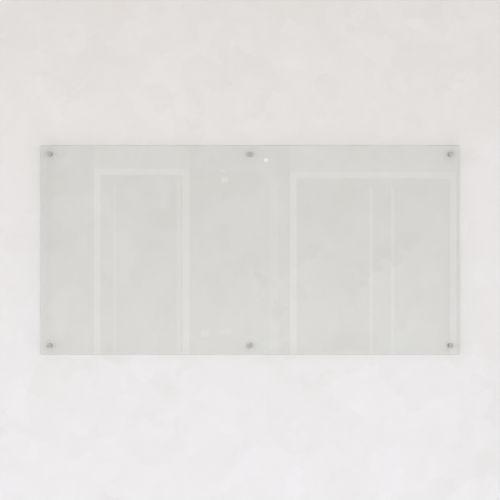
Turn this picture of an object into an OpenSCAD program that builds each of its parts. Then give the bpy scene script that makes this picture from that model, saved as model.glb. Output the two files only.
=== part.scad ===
// Wall-mounted clear screen: one toughened glass panel, held off a wall by six round standoffs.
// Millimetres. +X runs along the panel, +Z is up and the panel's front faces -Y.
// The origin is on the wall's surface, at the centre of the six fixings.
// Each fixing is drawn on its own axis, where z is the distance in front of the wall's surface.

/* [Panel] */
// Width of the panel
panel_w = 1219.2; // [400:0.1:2400]
// Height of the panel
panel_h = 609.6; // [200:0.1:1200]
// Thickness of the glass
panel_t = 6; // [5:0.5:10]
// Width of the bevel ground along the panel's edges
edge_bevel = 0.8; // [0.2:0.1:2]
// Distance from the panel's edges to the centre of a corner fixing
fixing_inset = 25.4; // [15:0.1:80]
// Diameter of the six holes in the panel
panel_hole_d = 9.5; // [9.3:0.1:10]

/* [Standoff] */
// Outer diameter of the barrel and of the cap
standoff_d = 12.7; // [12.7:0.1:25.4]
// Length of the barrel, from the wall to the rear gasket
barrel_l = 12.7; // [12.7:0.1:40]
// Thickness of the barrel's base, which the wall screw clamps to the wall
base_t = 3; // [2.6:0.1:4]
// Thickness of the cap's head
cap_t = 4; // [2:0.1:8]
// Width of the bevel around the cap's face
cap_bevel = 0.7; // [0.2:0.1:1.5]
// Nominal diameter of the thread that joins the cap to the barrel
thread_d = 8; // [7.8:0.1:8]
// Length of the cap's threaded stud
thread_l = 16; // [12:0.5:17]
// Advance of the cap in one turn
thread_pitch = 1; // [0.5:0.05:1.25]
// Number of turns that every cap is unscrewed by
cap_turns = 0; // [0:0.25:8]

/* [Gaskets] */
// Outer diameter of the two soft gaskets on each fixing
gasket_d = 12.3; // [10.5:0.1:12.7]
// Thickness of one gasket
gasket_t = 1; // [0.5:0.1:2]
// Wall thickness of the sleeve that keeps the stud off the glass
sleeve_wall = 0.6; // [0.4:0.05:0.6]

/* [Wall fixing] */
// Diameter of the wall screw's thread
screw_d = 3.5; // [2.5:0.1:3.6]
// Length of the wall screw with its countersunk head
screw_l = 30; // [20:1:31]
// Diameter of the wall screw's head
screw_head_d = 7; // [6:0.1:7.6]
// Diameter of the drilled hole that the wall plug fits
plug_d = 6; // [5.5:0.1:7]
// Length of the wall plug behind the wall's surface
plug_l = 30; // [30:1:40]

/* [Hidden] */
$fn = 96;

// Radial clearances between pieces that pass through each other
thread_gap = 0.05;
sleeve_gap = 0.1;
gasket_gap = 0.15;
screw_gap = 0.15;
plug_bore_gap = 0.05;
// Bevels and tips of the small pieces
barrel_bevel = 0.3;
hole_bevel = 0.4;
stud_tip = 0.6;
screw_tip_l = 5;
plug_tip_l = 3;
plug_tip_inset = 1;
// The plug's rim sits in a recess in the back of the barrel
rim_t = 0.7;
rim_d = 7.8;
recess_t = 0.8;
recess_d = 8.4;
// The slit that lets the plug spread, and the blind end of its bore
slit_w = 0.8;
slit_start = 15;
plug_end_t = 2;
// Cross recess in the wall screw's head
recess_arm_w = 0.9;
recess_arm_l = 4;
recess_arm_depth = 1.4;
// How far a cutting shape runs past what it cuts
overcut = 1;

// Distances in front of the wall's surface
panel_back = barrel_l + gasket_t;
panel_front = panel_back + panel_t;
cap_back = panel_front + gasket_t;

sleeve_l = panel_t - 2 * sleeve_gap;
stud_r = thread_d / 2 - thread_gap;
fixing_x = panel_w / 2 - fixing_inset;
fixing_z = panel_h / 2 - fixing_inset;

// Name, column and row of each fixing
PLACES = [
    ["top_left", -1, 1],
    ["top_middle", 0, 1],
    ["top_right", 1, 1],
    ["bottom_left", -1, -1],
    ["bottom_middle", 0, -1],
    ["bottom_right", 1, -1],
];
// Pieces of one fixing, from the wall to the front
PIECES = ["wall_plug", "wall_screw", "barrel", "rear_gasket", "sleeve", "front_gasket", "cap"];

// Moves a shape drawn on a fixing's axis to that fixing's place
module at_fixing(place) {
    translate([place[1] * fixing_x, 0, place[2] * fixing_z])
        rotate([90, 0, 0])
            children();
}

// Flat ring on the fixing's axis
module ring(outer_d, inner_d, thickness) {
    difference() {
        cylinder(d = outer_d, h = thickness);
        translate([0, 0, -overcut])
            cylinder(d = inner_d, h = thickness + 2 * overcut);
    }
}

// Slab with a bevel along the four edges that run in its length
module bevelled_slab(width, length) {
    side = width / 2;
    face = panel_t / 2;
    linear_extrude(height = length, center = true)
        polygon([
            [side, face - edge_bevel],
            [side - edge_bevel, face],
            [edge_bevel - side, face],
            [-side, face - edge_bevel],
            [-side, edge_bevel - face],
            [edge_bevel - side, -face],
            [side - edge_bevel, -face],
            [side, edge_bevel - face],
        ]);
}

// Straight hole through the panel, with a small bevel at each face
module panel_hole() {
    cylinder(d = panel_hole_d, h = panel_t + 2 * overcut, center = true);
    for (side = [0, 1])
        mirror([0, 0, side])
            translate([0, 0, panel_t / 2 - hole_bevel])
                cylinder(d1 = panel_hole_d, d2 = panel_hole_d + 2 * hole_bevel, h = hole_bevel);
}

module panel() {
    color([0.83, 0.84, 0.82, 0.5])
        difference() {
            translate([0, -(panel_back + panel_t / 2), 0])
                intersection() {
                    bevelled_slab(panel_w, panel_h);
                    rotate([0, 90, 0])
                        bevelled_slab(panel_h, panel_w);
                }
            for (place = PLACES)
                at_fixing(place)
                    translate([0, 0, panel_back + panel_t / 2])
                        panel_hole();
        }
}

// Nylon plug in the wall, with a rim at its mouth and a slit that lets it spread
module wall_plug() {
    bore_r = screw_d / 2 + plug_bore_gap;
    color([0.62, 0.62, 0.6])
        difference() {
            rotate_extrude()
                polygon([
                    [bore_r, rim_t],
                    [rim_d / 2, rim_t],
                    [rim_d / 2, 0],
                    [plug_d / 2, 0],
                    [plug_d / 2, plug_tip_l - plug_l],
                    [plug_d / 2 - plug_tip_inset, -plug_l],
                    [0, -plug_l],
                    [0, plug_end_t - plug_l],
                    [bore_r, plug_end_t - plug_l],
                ]);
            translate([-plug_d, -slit_w / 2, -plug_l - overcut])
                cube([2 * plug_d, slit_w, plug_l - slit_start + overcut]);
        }
}

// Countersunk screw, whose shank has the thread's outer diameter
module wall_screw() {
    shank_r = screw_d / 2;
    head_r = screw_head_d / 2;
    color([0.78, 0.78, 0.76])
        difference() {
            rotate_extrude()
                polygon([
                    [0, base_t],
                    [head_r, base_t],
                    [shank_r, base_t - head_r + shank_r],
                    [shank_r, base_t - screw_l + screw_tip_l],
                    [0, base_t - screw_l],
                ]);
            for (turn = [0, 90])
                rotate([0, 0, turn])
                    translate([-recess_arm_l / 2, -recess_arm_w / 2, base_t - recess_arm_depth])
                        cube([recess_arm_l, recess_arm_w, recess_arm_depth + overcut]);
        }
}

// Spacer tube with a countersunk base, whose plain bore has the thread's outer diameter
module barrel() {
    outer_r = standoff_d / 2;
    bore_r = thread_d / 2;
    head_r = screw_head_d / 2;
    hole_r = screw_d / 2 + screw_gap;
    color([0.66, 0.66, 0.65])
        rotate_extrude()
            polygon([
                [hole_r, recess_t],
                [recess_d / 2, recess_t],
                [recess_d / 2, 0],
                [outer_r - barrel_bevel, 0],
                [outer_r, barrel_bevel],
                [outer_r, barrel_l - barrel_bevel],
                [outer_r - barrel_bevel, barrel_l],
                [bore_r, barrel_l],
                [bore_r, base_t],
                [head_r, base_t],
                [hole_r, base_t - head_r + hole_r],
            ]);
}

module gasket() {
    color([0.85, 0.86, 0.84, 0.6])
        ring(gasket_d, thread_d + 2 * (gasket_gap - thread_gap), gasket_t);
}

module rear_gasket() {
    translate([0, 0, barrel_l])
        gasket();
}

module front_gasket() {
    translate([0, 0, panel_front + cap_turns * thread_pitch])
        gasket();
}

// Clear bush in the panel's hole, a little shorter than the glass is thick
module sleeve() {
    inner_d = 2 * (stud_r + sleeve_gap);
    color([0.88, 0.89, 0.87, 0.6])
        translate([0, 0, panel_back + sleeve_gap])
            ring(inner_d + 2 * sleeve_wall, inner_d, sleeve_l);
}

// Bevelled disc and the threaded stud behind it, turned in one piece
module cap() {
    outer_r = standoff_d / 2;
    color([0.72, 0.72, 0.71])
        translate([0, 0, cap_back + cap_turns * thread_pitch])
            rotate_extrude()
                polygon([
                    [0, -thread_l],
                    [stud_r - stud_tip, -thread_l],
                    [stud_r, stud_tip - thread_l],
                    [stud_r, 0],
                    [outer_r, 0],
                    [outer_r, cap_t - cap_bevel],
                    [outer_r - cap_bevel, cap_t],
                    [0, cap_t],
                ]);
}

panel();
for (place = PLACES) {
    at_fixing(place) wall_plug();
    at_fixing(place) wall_screw();
    at_fixing(place) barrel();
    at_fixing(place) rear_gasket();
    at_fixing(place) sleeve();
    at_fixing(place) front_gasket();
    at_fixing(place) cap();
}
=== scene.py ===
"""Looks of the wall-fixed clear screen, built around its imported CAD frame. All sizes are in metres.

The pieces of a fixing are turned about their own z axis, where z is the distance in front of the wall,
and one mesh of each kind then stands at the six places that the frame gives.
"""

import math

import bmesh
import bpy
from mathutils import Matrix, Vector


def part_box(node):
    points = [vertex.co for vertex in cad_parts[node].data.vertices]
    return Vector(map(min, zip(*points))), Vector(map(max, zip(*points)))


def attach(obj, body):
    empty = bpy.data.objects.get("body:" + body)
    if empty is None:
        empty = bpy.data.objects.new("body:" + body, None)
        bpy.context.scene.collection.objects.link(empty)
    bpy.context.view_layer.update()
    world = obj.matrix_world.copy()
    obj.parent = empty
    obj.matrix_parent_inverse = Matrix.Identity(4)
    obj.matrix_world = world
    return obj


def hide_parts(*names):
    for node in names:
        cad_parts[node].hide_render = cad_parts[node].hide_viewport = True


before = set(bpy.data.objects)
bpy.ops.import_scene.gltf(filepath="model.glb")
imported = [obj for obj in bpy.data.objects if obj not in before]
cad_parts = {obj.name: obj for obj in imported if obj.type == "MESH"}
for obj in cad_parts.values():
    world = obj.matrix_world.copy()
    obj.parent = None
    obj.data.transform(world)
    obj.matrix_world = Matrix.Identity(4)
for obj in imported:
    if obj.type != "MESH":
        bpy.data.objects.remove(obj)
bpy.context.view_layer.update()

MM = 0.001
COLUMNS = 72  # vertices around a turned piece
SMOOTH_ANGLE = math.radians(32)  # edges sharper than this stay crisp

# Thread of the cap's stud, and its clearance in the barrel
STUD_CREST = 3.95 * MM
STUD_ROOT = 3.38 * MM
STUD_PITCH = 1.0 * MM
THREAD_GAP = 0.05 * MM
# Thread and cross recess of the wall screw
SCREW_CREST = 1.75 * MM
SCREW_ROOT = 1.15 * MM
SCREW_PITCH = 1.5 * MM
RECESS_ARM = Vector((2.0, 0.45, 1.4)) * MM  # half length, half width and depth of one arm
RECESS_FLOOR = 0.35  # size of the recess's floor as a share of its mouth
# Radii of bores and of the plug, and depths, that the frame's boxes don't show
BASE_HOLE = 1.9 * MM
PLUG_RECESS = 4.2 * MM
PLUG_RECESS_DEPTH = 0.8 * MM
PLUG_RADIUS = 3.0 * MM
PLUG_BORE = 1.8 * MM
PLUG_RIM_T = 0.7 * MM
PLUG_SLIT_W = 0.8 * MM
GASKET_BORE = 4.1 * MM
SLEEVE_BORE = 4.05 * MM
# Rounding of the edges of the soft pieces
GASKET_SOFT = 0.3 * MM
SLEEVE_SOFT = 0.15 * MM

PLACES = [name[len("cap_"):] for name in sorted(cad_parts) if name.startswith("cap_")]


def span(kind):
    """Radius of a turned node, and how far in front of the wall it starts and ends."""
    low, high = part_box(f"{kind}_{PLACES[0]}")
    return (high.x - low.x) / 2, -high.y, -low.y


def fixing_matrix(place):
    """Stands a piece turned about z at a fixing, with its z axis pointing away from the wall."""
    low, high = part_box("cap_" + place)
    foot = Vector(((low.x + high.x) / 2, 0, (low.z + high.z) / 2))
    return Matrix.Translation(foot) @ Matrix.Rotation(math.radians(90), 4, "X")


# ---------------------------------------------------------------- turned meshes


class Turning:
    """A closed surface turned about the z axis, grown ring by ring along its outline."""

    def __init__(self, columns=COLUMNS):
        self.columns = columns
        self.points = []
        self.faces = []
        self.first = None
        self.last = None

    def point(self, radius, height, column):
        angle = 2 * math.pi * column / self.columns
        self.points.append((radius * math.cos(angle), radius * math.sin(angle), height))
        return len(self.points) - 1

    def face(self, corners):
        kept = list(dict.fromkeys(corners))
        if len(kept) > 2:
            self.faces.append(kept)

    def bridge(self, below, above):
        """Faces between two rings, either of which may be a single point on the axis."""
        for column in range(self.columns):
            after = (column + 1) % self.columns
            self.face([below[column], below[after], above[after], above[column]])

    def add(self, ring):
        if self.last is None:
            self.first = ring
        else:
            self.bridge(self.last, ring)
        self.last = ring

    def rings(self, outline):
        for radius, height in outline:
            if radius == 0:
                self.add([self.point(0, height, 0)] * self.columns)
            else:
                self.add([self.point(radius, height, column) for column in range(self.columns)])

    def helix(self, low, high, pitch, profile, shaped):
        """A thread from low to high, whose profile holds (share of a pitch, radius) rows.

        Its phase counts from height 0, so that two threads of one pitch fit each other.
        shaped(height, radius) gives the radius at a height, and makes lead-ins and tapers.
        """
        rows = len(profile)
        shares = [share for share, _ in profile] + [1]
        radii = [radius for _, radius in profile] + [profile[0][1]]
        known = {}

        def radius_at(height, turn):
            phase = (height / pitch - turn) % 1
            row = max(i for i in range(rows) if shares[i] <= phase)
            part = (phase - shares[row]) / (shares[row + 1] - shares[row])
            return shaped(height, radii[row] + part * (radii[row + 1] - radii[row]))

        def at(row, column):
            turn = column / self.columns
            height = pitch * (row // rows + shares[row % rows] + turn)
            height = min(max(height, low), high)
            key = (column, round(height / MM, 6))
            if key not in known:
                known[key] = self.point(radius_at(height, turn), height, column)
            return known[key]

        start = rows * (math.floor(low / pitch) - 2)
        end = rows * (math.ceil(high / pitch) + 1)
        self.add([at(start, column) for column in range(self.columns)])
        for row in range(start, end):
            for column in range(self.columns):
                after = (column + 1) % self.columns
                shift = rows if after == 0 else 0
                self.face([
                    at(row, column),
                    at(row + shift, after),
                    at(row + shift + 1, after),
                    at(row + 1, column),
                ])
        self.last = [at(end, column) for column in range(self.columns)]

    def mesh(self, name, closed=False):
        """The finished mesh. closed joins the last ring to the first, as on a piece with a bore."""
        if closed:
            self.bridge(self.last, self.first)
        data = bpy.data.meshes.new(name)
        data.from_pydata(self.points, [], self.faces)
        return finished(data)


def finished(data):
    """Points the faces outwards, and shades all but the crisp edges smoothly."""
    shape = bmesh.new()
    shape.from_mesh(data)
    bmesh.ops.recalc_face_normals(shape, faces=shape.faces)
    shape.to_mesh(data)
    shape.free()
    data.polygons.foreach_set("use_smooth", [True] * len(data.polygons))
    data.set_sharp_from_angle(angle=SMOOTH_ANGLE)
    data.update()
    return data


def rounded(outline, steps=4):
    """An outline whose corners, given as (radius, height, rounding), become short arcs."""
    result = []
    for i, (radius, height, rounding) in enumerate(outline):
        corner = Vector((radius, height))
        if rounding == 0:
            result.append((radius, height))
            continue
        before = (Vector(outline[i - 1][:2]) - corner).normalized()
        after = (Vector(outline[(i + 1) % len(outline)][:2]) - corner).normalized()
        half = before.angle(after) / 2
        centre = corner + (before + after).normalized() * rounding / math.sin(half)
        start = corner + before * rounding / math.tan(half) - centre
        end = corner + after * rounding / math.tan(half) - centre
        for step in range(steps + 1):
            spoke = start.slerp(end, step / steps).normalized() * rounding
            result.append(tuple(centre + spoke))
    return result


def thread_profile(crest, root, crest_share=0.14, root_share=0.2):
    """One pitch of a thread: root, rising flank, crest and falling flank."""
    flank = (1 - crest_share - root_share) / 2
    return [
        (0, root),
        (root_share / 2, root),
        (root_share / 2 + flank, crest),
        (root_share / 2 + flank + crest_share, crest),
        (1 - root_share / 2, root),
    ]


def wedge_mesh(name, half, depth, top, narrow):
    """A box below height top, whose lower end is narrowed by a share."""
    points = []
    for height, scale in ((top - depth, narrow), (top + depth, 1)):
        for x, y in ((-1, -1), (1, -1), (1, 1), (-1, 1)):
            points.append((x * half[0] * scale, y * half[1] * scale, height))
    faces = [(3, 2, 1, 0), (4, 5, 6, 7)]
    faces += [(i, (i + 1) % 4, (i + 1) % 4 + 4, i + 4) for i in range(4)]
    data = bpy.data.meshes.new(name)
    data.from_pydata(points, [], faces)
    return data


def cut(data, cutters):
    """The mesh with each cutter's mesh taken out of it."""
    body = bpy.data.objects.new("cut_body", data)
    bpy.context.scene.collection.objects.link(body)
    tools = []
    for cutter in cutters:
        tool = bpy.data.objects.new("cut_tool", cutter)
        bpy.context.scene.collection.objects.link(tool)
        tools.append(tool)
        boolean = body.modifiers.new("cut", "BOOLEAN")
        boolean.operation = "DIFFERENCE"
        boolean.solver = "EXACT"
        boolean.object = tool
    bpy.context.view_layer.update()
    shown = body.evaluated_get(bpy.context.evaluated_depsgraph_get())
    result = bpy.data.meshes.new_from_object(shown)
    result.name = data.name
    for o in [body, *tools]:
        bpy.data.objects.remove(o)
    return finished(result)


# ---------------------------------------------------------------- the pieces of a fixing


def cap_mesh():
    """Bevelled disc, and behind it the stud with a true thread, a lead-in and a thread relief."""
    radius, tip, front = span("cap")
    back = span("front_gasket")[2]
    bevel = 0.7 * MM
    soft = 0.12 * MM
    lead = 0.6 * MM
    relief = 0.6 * MM

    def lead_in(height, thread_radius):
        return min(thread_radius, STUD_CREST - lead + height - tip)

    piece = Turning()
    piece.rings([(0, tip)])
    piece.helix(tip, back - relief, STUD_PITCH, thread_profile(STUD_CREST, STUD_ROOT), lead_in)
    piece.rings([(STUD_ROOT, back - relief), (STUD_ROOT, back)])
    piece.rings(rounded([
        (radius, back, soft),
        (radius, front - bevel, soft),
        (radius - bevel, front, soft),
        (0, front, 0),
    ]))
    return piece.mesh("cap")


def barrel_mesh():
    """Spacer tube with a true thread in its bore, a countersunk base and a recess behind it."""
    radius, back, front = span("barrel")
    head_radius, _, base_top = span("wall_screw")
    bore = STUD_CREST + THREAD_GAP
    soft = 0.3 * MM
    mouth = 0.5 * MM
    undercut = 0.8 * MM
    profile = thread_profile(bore, STUD_ROOT + THREAD_GAP)

    def opened(height, thread_radius):
        return max(thread_radius, bore - mouth + max(height - front + mouth, 0))

    piece = Turning()
    piece.rings([
        (BASE_HOLE, base_top - head_radius + BASE_HOLE),
        (head_radius, base_top),
        (bore, base_top),
        (bore, base_top + undercut),
    ])
    piece.helix(base_top + undercut, front, STUD_PITCH, profile, opened)
    piece.rings(rounded([
        (bore, front, 0),
        (radius, front, soft),
        (radius, back, soft),
        (PLUG_RECESS, back, 0),
        (PLUG_RECESS, PLUG_RECESS_DEPTH, 0),
        (BASE_HOLE, PLUG_RECESS_DEPTH, 0),
    ]))
    return piece.mesh("barrel", closed=True)


def ring_mesh(kind, bore, soft):
    """Ring with rounded edges, such as a gasket or a sleeve."""
    radius, back, front = span(kind)
    piece = Turning()
    piece.rings(rounded([
        (bore, back, soft),
        (radius, back, soft),
        (radius, front, soft),
        (bore, front, soft),
    ]))
    return piece.mesh(kind, closed=True)


def wall_screw_mesh():
    """Countersunk wood screw with a tapered, threaded point and a cross recess."""
    head_radius, tip, top = span("wall_screw")
    land = 0.2 * MM
    point_l = 5 * MM
    point_share = 0.04
    runout = 0.4 * MM
    shank = SCREW_ROOT + 0.3 * MM
    shank_l = 3 * MM
    neck = top - head_radius + shank
    thread_top = neck - shank_l

    def pointed(height, thread_radius):
        return thread_radius * min(max((height - tip) / point_l, point_share), 1)

    piece = Turning(columns=48)
    piece.rings([(0, tip)])
    profile = thread_profile(SCREW_CREST, SCREW_ROOT, crest_share=0.06, root_share=0.5)
    piece.helix(tip, thread_top, SCREW_PITCH, profile, pointed)
    piece.rings([
        (shank, thread_top + runout),
        (shank, neck),
        (head_radius - land, top - land),
        (head_radius - land, top),
        (0, top),
    ])
    data = piece.mesh("wall_screw")
    half = (RECESS_ARM.x, RECESS_ARM.y)
    cutters = [
        wedge_mesh("recess_a", half, RECESS_ARM.z, top, RECESS_FLOOR),
        wedge_mesh("recess_b", half[::-1], RECESS_ARM.z, top, RECESS_FLOOR),
    ]
    return cut(data, cutters)


def wall_plug_mesh():
    """Nylon plug with ribs that grip the wall, a tapered tip and the slit that lets it spread."""
    rim_radius, tip, _ = span("wall_plug")
    rim_bevel = 0.15 * MM
    mouth_bevel = 0.4 * MM
    neck = -3.5 * MM
    rib_pitch = 2.2 * MM
    groove = PLUG_RADIUS - 0.28 * MM
    groove_starts = 0.25 * MM
    groove_ends = 0.7 * MM
    rib_starts = 1.5 * MM
    tip_l = 3 * MM
    tip_step = 0.1 * MM
    tip_inset = 1 * MM
    tip_bevel = 0.2 * MM
    end_t = 2 * MM
    past_tip = 1 * MM
    rib_count = int((neck - tip - tip_l) / rib_pitch)

    piece = Turning()
    piece.rings([
        (0, tip + end_t),
        (PLUG_BORE, tip + end_t),
        (PLUG_BORE, 0),
        (PLUG_BORE + mouth_bevel, PLUG_RIM_T),
        (rim_radius - rim_bevel, PLUG_RIM_T),
        (rim_radius, PLUG_RIM_T - rim_bevel),
        (rim_radius, 0),
        (PLUG_RADIUS, 0),
        (PLUG_RADIUS, neck),
    ])
    for rib in range(rib_count):
        top = neck - rib * rib_pitch
        piece.rings([
            (groove, top - groove_starts),
            (groove, top - groove_ends),
            (PLUG_RADIUS, top - rib_starts),
            (PLUG_RADIUS, top - rib_pitch),
        ])
    piece.rings([
        (PLUG_RADIUS - tip_step, tip + tip_l),
        (PLUG_RADIUS - tip_inset, tip + tip_bevel),
        (PLUG_RADIUS - tip_inset - tip_bevel, tip),
        (0, tip),
    ])
    data = piece.mesh("wall_plug")
    slit_top = tip / 2
    slit_depth = slit_top - tip + past_tip
    slit = wedge_mesh("slit", (2 * PLUG_RADIUS, PLUG_SLIT_W / 2), slit_depth, 0, 1)
    slit.transform(Matrix.Translation((0, 0, slit_top - slit_depth)))
    return cut(data, [slit])


# ---------------------------------------------------------------- materials

# Colour of thick glass, and how fast it absorbs, per metre
GLASS_BODY = (0.40, 0.75, 0.52, 1)
GLASS_DENSITY = 4.0


class Graph:
    """Short ways to add nodes to a tree and to join them up."""

    def __init__(self, tree):
        self.tree = tree

    def add(self, kind, inputs=None, **settings):
        node = self.tree.nodes.new(kind)
        for key, value in settings.items():
            setattr(node, key, value)
        for socket, value in (inputs or {}).items():
            self.feed(node.inputs[socket], value)
        return node

    def feed(self, socket, value):
        if isinstance(value, bpy.types.NodeSocket):
            self.tree.links.new(value, socket)
        else:
            socket.default_value = value

    def math(self, operation, a, b=0.0):
        return self.add("ShaderNodeMath", {0: a, 1: b}, operation=operation).outputs[0]

    def mixed(self, share, a, b):
        """a where share is 0 and b where it is 1."""
        return self.add("ShaderNodeMix", {0: share, 2: a, 3: b}, data_type="FLOAT").outputs[0]

    def ranged(self, value, low, high, start=0.3, end=0.7):
        """value from start to end, carried over to low to high."""
        inputs = {"Value": value, "From Min": start, "From Max": end, "To Min": low, "To Max": high}
        return self.add("ShaderNodeMapRange", inputs).outputs["Result"]


class Look(Graph):
    """A node material around one Principled shader. Textures are laid in the piece's own frame."""

    def __init__(self, name, color, roughness, **numbers):
        self.material = bpy.data.materials.new(name)
        self.material.use_nodes = True
        super().__init__(self.material.node_tree)
        self.surface = self.tree.nodes["Principled BSDF"]
        self.output = self.tree.nodes["Material Output"]
        self.surface.inputs["Base Color"].default_value = (*color, 1)
        self.surface.inputs["Roughness"].default_value = roughness
        for socket, value in numbers.items():
            self.surface.inputs[socket.replace("_", " ")].default_value = value
        self.place = self.add("ShaderNodeTexCoord").outputs["Object"]

    def noise(self, scale, detail=2.0, vector=None, roughness=0.5, output="Fac"):
        """Noise from 0 to 1, or of three such numbers as a Color, with scale in waves per metre."""
        inputs = {
            "Vector": vector or self.place,
            "Scale": scale,
            "Detail": detail,
            "Roughness": roughness,
        }
        return self.add("ShaderNodeTexNoise", inputs).outputs[output]

    def blend(self, share, a, b):
        """Colour a where share is 0 and colour b where it is 1."""
        node = self.add("ShaderNodeMix", data_type="RGBA", clamp_factor=False)
        self.feed(node.inputs[0], share)
        self.feed(node.inputs[6], (*a, 1))
        self.feed(node.inputs[7], (*b, 1))
        return node.outputs[2]

    def bump(self, height, depth, strength=1.0):
        inputs = {"Height": height, "Distance": depth, "Strength": strength}
        self.set("Normal", self.add("ShaderNodeBump", inputs).outputs["Normal"])

    def set(self, socket, value):
        self.feed(self.surface.inputs[socket], value)

    def turned(self):
        """(distance from the z axis, height) as a vector, so that a texture follows a lathe's marks."""
        x, y, z = self.add("ShaderNodeSeparateXYZ", {0: self.place}).outputs
        squares = self.math("ADD", self.math("MULTIPLY", x, x), self.math("MULTIPLY", y, y))
        return self.add("ShaderNodeCombineXYZ", {0: self.math("SQRT", squares), 1: z}).outputs[0]


def turned_steel(name, dark, light, rough):
    """Stainless steel with fine turning marks, softly uneven in gloss."""
    look = Look(name, dark, rough, Metallic=1.0, Anisotropic=0.45)
    marks = look.noise(9000, 3, look.turned(), 0.7)
    clouds = look.noise(350, 3)
    look.set("Base Color", look.blend(look.ranged(marks, 0, 1), dark, light))
    gloss = look.ranged(marks, rough - 0.05, rough + 0.05)
    look.set("Roughness", look.math("ADD", gloss, look.ranged(clouds, -0.04, 0.05)))
    look.bump(marks, 0.004 * MM)
    tangent = look.add("ShaderNodeTangent", direction_type="RADIAL", axis="Z").outputs[0]
    look.set("Tangent", tangent)
    return look.material


def satin_steel():
    """The caps' steel."""
    return turned_steel("satin_steel", (0.61, 0.60, 0.58), (0.70, 0.69, 0.67), 0.38)


def painted_shade_steel():
    """The barrels' steel: the caps' turned steel with a darker colour that paints the shade its sides lie
    in, behind the cap and the glass.
    """
    return turned_steel("painted_shade_steel", (0.22, 0.212, 0.206), (0.34, 0.33, 0.32), 0.30)


def zinc_steel():
    """Bright zinc plating, with the faint cloudy tint that it takes on."""
    look = Look("zinc_steel", (0.72, 0.73, 0.74), 0.3, Metallic=1.0)
    clouds = look.noise(400, 4)
    look.set("Base Color", look.blend(look.ranged(clouds, 0, 1), (0.66, 0.69, 0.73), (0.76, 0.75, 0.70)))
    look.set("Roughness", look.ranged(look.noise(2500, 2), 0.22, 0.38))
    look.bump(look.noise(6000, 2), 0.003 * MM)
    return look.material


def grey_nylon():
    """Moulded nylon, slightly waxy, with a fine even grain."""
    look = Look("grey_nylon", (0.55, 0.56, 0.56), 0.45, Subsurface_Weight=0.15, Subsurface_Scale=0.5 * MM)
    clouds = look.noise(300, 3)
    look.set("Base Color", look.blend(look.ranged(clouds, 0, 1), (0.52, 0.53, 0.54), (0.58, 0.59, 0.58)))
    look.set("Roughness", look.ranged(look.noise(5000, 2), 0.36, 0.52))
    look.bump(look.noise(9000, 2), 0.006 * MM)
    return look.material


def clear_vinyl():
    """Soft clear vinyl, a little milky."""
    look = Look("clear_vinyl", (0.86, 0.87, 0.85), 0.35, Transmission_Weight=0.3, IOR=1.52)
    look.set("Roughness", look.ranged(look.noise(1500, 3), 0.28, 0.42))
    look.bump(look.noise(4000, 2), 0.002 * MM)
    return look.material


def clear_nylon():
    """Translucent nylon bush."""
    look = Look("clear_nylon", (0.90, 0.90, 0.87), 0.38, Transmission_Weight=0.3, IOR=1.53)
    look.set("Roughness", look.ranged(look.noise(1500, 3), 0.3, 0.46))
    look.bump(look.noise(5000, 2), 0.002 * MM)
    return look.material


def let_lamps_through(look, tint):
    """Light for the wall passes a glass face straight, with a tint, and the pane absorbs a little."""
    path = look.add("ShaderNodeLightPath").outputs
    lamp_ray = look.math("MAXIMUM", path["Is Shadow Ray"], path["Is Diffuse Ray"])
    through = look.add("ShaderNodeBsdfTransparent", {"Color": (*tint, 1)}).outputs[0]
    mixed = look.add("ShaderNodeMixShader", {0: lamp_ray, 1: look.surface.outputs[0], 2: through})
    look.feed(look.output.inputs["Surface"], mixed.outputs[0])
    inside = look.add("ShaderNodeVolumeAbsorption", {"Color": GLASS_BODY, "Density": GLASS_DENSITY})
    look.feed(look.output.inputs["Volume"], inside.outputs[0])


def panel_glass():
    """Clear glass with faint wipe marks in its gloss."""
    look = Look("panel_glass", (0.909, 0.911, 0.90), 0.0, Transmission_Weight=1.0, IOR=1.52)
    stretched = look.add("ShaderNodeMapping", {"Vector": look.place, "Scale": (1, 1, 3)}).outputs[0]
    look.set("Roughness", look.ranged(look.noise(9, 6, stretched, 0.62), 0.0, 0.012))
    let_lamps_through(look, (0.985, 0.98, 0.978))
    return look.material


def panel_edge():
    """Finely ground edge of the glass, pale and a little green, with the grinding marks along it."""
    look = Look("panel_edge", (0.80, 0.85, 0.81), 0.35, Transmission_Weight=0.45, IOR=1.52)
    along = look.add("ShaderNodeMapping", {"Vector": look.place, "Scale": (1, 60, 1)}).outputs[0]
    marks = look.noise(120, 4, along, 0.6)
    look.set("Base Color", look.blend(look.ranged(marks, 0, 1), (0.76, 0.81, 0.78), (0.84, 0.88, 0.85)))
    look.set("Roughness", look.ranged(marks, 0.26, 0.42))
    look.bump(marks, 0.01 * MM)
    let_lamps_through(look, (0.985, 0.985, 0.982))
    return look.material


# ---------------------------------------------------------------- the object

# Mesh, look and the record's slot of each kind of piece
KINDS = {
    "cap": (cap_mesh(), satin_steel(), "satin_steel"),
    # The barrels share the caps' slot; their look is that steel darkened to paint shade
    "barrel": (barrel_mesh(), painted_shade_steel(), "satin_steel"),
    "front_gasket": (ring_mesh("front_gasket", GASKET_BORE, GASKET_SOFT), clear_vinyl(), "clear_vinyl"),
    "rear_gasket": (ring_mesh("rear_gasket", GASKET_BORE, GASKET_SOFT), clear_vinyl(), "clear_vinyl"),
    "sleeve": (ring_mesh("sleeve", SLEEVE_BORE, SLEEVE_SOFT), clear_nylon(), "clear_nylon"),
    "wall_screw": (wall_screw_mesh(), zinc_steel(), "zinc_steel"),
    "wall_plug": (wall_plug_mesh(), grey_nylon(), "plug_nylon"),
}
MOVING = ("cap", "front_gasket")
FACE_NORMAL = 0.999  # least part along Y of the normals of the panel's two faces


def place_pieces():
    """Stands each kind of piece at the six fixings, in place of its CAD node."""
    for kind, (data, material, slot) in KINDS.items():
        data.materials.append(material)
        for place in PLACES:
            node = f"{kind}_{place}"
            piece = bpy.data.objects.new(node + "_piece", data)
            bpy.context.scene.collection.objects.link(piece)
            piece.matrix_world = fixing_matrix(place)
            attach(piece, node if kind in MOVING else "root")
            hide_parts(node)


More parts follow.
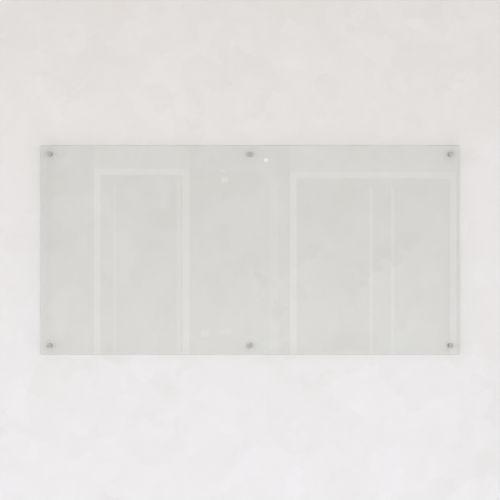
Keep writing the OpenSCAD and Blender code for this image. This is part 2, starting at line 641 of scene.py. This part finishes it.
def dress_panel():
    """Clear faces and ground edges on the panel's own CAD mesh."""
    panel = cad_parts["panel"]
    panel.data.materials.clear()
    panel.data.materials.append(panel_glass())
    panel.data.materials.append(panel_edge())
    for polygon in panel.data.polygons:
        flat = abs(polygon.normal.y) > FACE_NORMAL
        polygon.material_index = 0 if flat else 1


# ---------------------------------------------------------------- wall, floor, light and camera

# Size of the wall and of the floor at its foot, and the wall's gap behind the barrels
WALL_SIZE = (14, 3)
FLOOR_SIZE = (28, 28)
WALL_GAP = 0.3 * MM
# Colour and strength of the surroundings: in diffuse light, where they are seen, and in mirrors straight
# ahead of the wall, where the far end of the room is dim, to the sides of that, and behind the wall
AIR_COLOR = (1, 0.985, 0.965, 1)
WORLD_DIFFUSE = 0.6
WORLD_SEEN = 0.82
WORLD_AHEAD = 0.35
WORLD_SIDES = 1.3
WORLD_BEHIND = 0.4
WORLD_FLOOR = 0.6  # added low down, where mirrors show the pale floor
# Part of a mirrored direction that points to the wall, or up, over which these turn into each other
FADE_TO_SIDES = (-0.97, -0.75)
FADE_TO_BEHIND = (-0.3, 0.1)
FADE_FROM_FLOOR = (-0.09, -0.02)
# Name, place, target, size, power in watts, and whether mirrors show it
SOFTBOXES = [
    ("front_softbox", (0, -4.6, -0.2), (0, 0, -0.1), (5.0, 1.7), 86, False),
    ("left_softbox", (-2.9, -2.2, 0.6), (0, 0, 0), (1.4, 2.0), 8, True),
    ("right_softbox", (2.9, -2.2, 0.6), (0, 0, 0), (1.4, 2.0), 5, True),
]
# The wall's lower and upper colour, a painted shade that darkens it towards its top, and the height in
# metres over which one turns into the other
WALL_LOW = (0.80, 0.792, 0.813)
WALL_HIGH = (0.718, 0.695, 0.683)
WALL_FADE = 0.73
# Waves per metre, bend in metres and share of the wall's two shades, of each layer of trowel marks
TROWEL_MARKS = [(3.4, 0.28, 0.2), (8, 0.13, 0.2)]
FINE_PLASTER = 0.12
# Pale door trim far behind the camera, which the glass mirrors
TRIM_Y = -7.6
TRIM_W = 0.056
TRIM_FOOT = -1.3
TRIM_GLOW = 1.1
WARM = (1, 0.8, 0.62)
# The camera's distance from the panel's face, and the panel's share of the picture's width
CAMERA_DISTANCE = 3.8
PANEL_SHARE = 0.8378


def stage_plane(name, size, matrix, material):
    """A flat rectangle of the stage."""
    data = bpy.data.meshes.new(name)
    x, y = size[0] / 2, size[1] / 2
    data.from_pydata([(-x, -y, 0), (x, -y, 0), (x, y, 0), (-x, y, 0)], [], [(0, 1, 2, 3)])
    data.materials.append(material)
    plane = bpy.data.objects.new(name, data)
    bpy.context.scene.collection.objects.link(plane)
    plane.matrix_world = matrix


def trowelled(wall):
    """Patches of plaster with bent, crisp edges, each a little darker or lighter than the next."""
    layers = []
    for size, bend, share in TROWEL_MARKS:
        waves = wall.noise(size, 6, roughness=0.6, output="Color")
        bent = wall.add("ShaderNodeVectorMath", {0: waves, 3: bend}, operation="SCALE").outputs[0]
        moved = wall.add("ShaderNodeVectorMath", {0: wall.place, 1: bent}, operation="ADD").outputs[0]
        patches = wall.add("ShaderNodeTexVoronoi", {"Vector": moved, "Scale": 2 * size})
        tone = wall.add("ShaderNodeSeparateColor", {0: patches.outputs["Color"]}).outputs[0]
        faded = wall.ranged(wall.noise(size, 2), 0, share)
        layers.append(wall.math("MULTIPLY", wall.ranged(tone, -1, 1, 0, 1), faded))
    fine = wall.ranged(wall.noise(14, 8, roughness=0.75), -FINE_PLASTER, FINE_PLASTER)
    return wall.math("ADD", wall.math("ADD", *layers), fine)


def make_room():
    """A pale wall that is seen from its front only, with painted shade that darkens it towards its top,
    and a pale floor.
    """
    wall = Look("stage_wall", (0.76, 0.75, 0.74), 0.9)
    height = wall.add("ShaderNodeSeparateXYZ", {0: wall.place}).outputs["Y"]
    # Painted shade: the wall's colour darkens with height, and the trowel patches are laid over that
    graded = wall.math("ADD", wall.ranged(height, 0, 1, -WALL_FADE, WALL_FADE), trowelled(wall))
    wall.set("Base Color", wall.blend(graded, WALL_LOW, WALL_HIGH))
    back = wall.add("ShaderNodeNewGeometry").outputs["Backfacing"]
    clear = wall.add("ShaderNodeBsdfTransparent").outputs[0]
    mixed = wall.add("ShaderNodeMixShader", {0: back, 1: wall.surface.outputs[0], 2: clear})
    wall.feed(wall.output.inputs["Surface"], mixed.outputs[0])
    upright = Matrix.Translation((0, WALL_GAP, 0)) @ Matrix.Rotation(math.radians(90), 4, "X")
    stage_plane("stage_wall", WALL_SIZE, upright, wall.material)
    floor = Look("stage_floor", (0.16, 0.16, 0.16), 0.8, Emission_Strength=0.62)
    floor.set("Emission Color", AIR_COLOR)
    stage_plane("stage_floor", FLOOR_SIZE, Matrix.Translation((0, 0, -WALL_SIZE[1] / 2)), floor.material)


def make_world():
    """Pale to look at and, in mirrors, dimmer ahead of the wall than to its sides."""
    world = bpy.data.worlds.new("studio")
    world.use_nodes = True
    graph = Graph(world.node_tree)
    path = graph.add("ShaderNodeLightPath").outputs
    direction = graph.add("ShaderNodeTexCoord").outputs["Generated"]
    _, wallward, upward = graph.add("ShaderNodeSeparateXYZ", {0: direction}).outputs
    room = graph.ranged(wallward, WORLD_AHEAD, WORLD_SIDES, *FADE_TO_SIDES)
    room = graph.mixed(graph.ranged(wallward, 0, 1, *FADE_TO_BEHIND), room, WORLD_BEHIND)
    mirrored = graph.math("ADD", room, graph.ranged(upward, WORLD_FLOOR, 0, *FADE_FROM_FLOOR))
    strength = graph.mixed(path["Is Glossy Ray"], WORLD_DIFFUSE, mirrored)
    seen = graph.math("MAXIMUM", path["Is Camera Ray"], path["Is Transmission Ray"])
    background = world.node_tree.nodes["Background"]
    graph.feed(background.inputs["Strength"], graph.mixed(seen, strength, WORLD_SEEN))
    background.inputs["Color"].default_value = AIR_COLOR
    bpy.context.scene.world = world


def area_light(name, place, target, size, power):
    """A rectangular lamp that faces a point and isn't seen itself."""
    light = bpy.data.lights.new(name, "AREA")
    light.shape = "RECTANGLE"
    light.size, light.size_y = size
    light.energy = power
    lamp = bpy.data.objects.new(name, light)
    bpy.context.scene.collection.objects.link(lamp)
    lamp.location = place
    lamp.rotation_euler = (Vector(target) - Vector(place)).to_track_quat("-Z", "Y").to_euler()
    lamp.visible_camera = False
    lamp.visible_transmission = False
    return lamp


def make_softboxes():
    """Soft light from the front and from both sides."""
    for name, place, target, size, power, mirrored in SOFTBOXES:
        lamp = area_light(name, place, target, size, power)
        lamp.visible_glossy = mirrored


def trim(name, left, right, foot, top, glow=TRIM_GLOW, color=(1, 1, 1)):
    """A strip of pale trim, or a lamp, that only mirrors show."""
    size = (right - left, top - foot)
    place = ((left + right) / 2, TRIM_Y, (foot + top) / 2)
    target = (place[0], 0, place[2])
    lamp = area_light(name, place, target, size, glow * math.pi * size[0] * size[1])
    lamp.data.color = color
    lamp.visible_diffuse = False


def doorway(name, left, right, top):
    """Two uprights and the head between them."""
    trim(name + "_left", left, left + TRIM_W, TRIM_FOOT, top)
    trim(name + "_right", right - TRIM_W, right, TRIM_FOOT, top)
    trim(name + "_head", left + TRIM_W, right - TRIM_W, top - TRIM_W, top)


def make_trim():
    """Two door frames, the lines between and within them, and a few lamps."""
    doorway("near_door", -1.36, -0.53, 0.71)
    trim("near_door_stop", -0.64, -0.60, TRIM_FOOT, 0.65, 0.55)
    trim("near_door_panel", -1.19, -1.17, TRIM_FOOT, 0.55, 0.5)
    trim("near_lintel", -1.36, -0.53, 0.71, 1.0, 0.45)
    doorway("wide_door", 0.35, 1.80, 0.68)
    trim("wide_door_panel_a", 1.04, 1.07, TRIM_FOOT, 0.55, 0.7)
    trim("wide_door_panel_b", 1.23, 1.26, TRIM_FOOT, 0.55, 0.7)
    trim("wide_lintel", 0.35, 1.9, 0.68, 1.0, 0.4)
    trim("middle_light", 0.17, 0.25, TRIM_FOOT, 0.6, 0.45, WARM)
    trim("ceiling_lamp", 0.124, 0.156, 0.769, 0.801, 4.0)
    trim("small_lamp", -0.26, -0.22, 0.68, 0.70, 1.3, WARM)
    trim("warm_lamp", -0.25, -0.19, 0.585, 0.635, 1.5, WARM)
    trim("low_glint_left", -0.42, -0.36, -0.76, -0.70, 0.6)
    trim("low_glint_right", -0.26, -0.17, -0.73, -0.69, 0.6)


def make_camera():
    """Square on to the panel's centre."""
    low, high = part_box("panel")
    seen_width = (high.x - low.x) / PANEL_SHARE
    camera = bpy.data.cameras.new("camera")
    camera.sensor_width = 36
    camera.lens = camera.sensor_width * CAMERA_DISTANCE / seen_width
    holder = bpy.data.objects.new("camera", camera)
    bpy.context.scene.collection.objects.link(holder)
    holder.location = (0, low.y - CAMERA_DISTANCE, 0)
    holder.rotation_euler = (math.radians(90), 0, 0)
    bpy.context.scene.camera = holder


bpy.context.scene.view_settings.view_transform = "Standard"
make_camera()
place_pieces()
dress_panel()
make_room()
make_world()
make_softboxes()
make_trim()
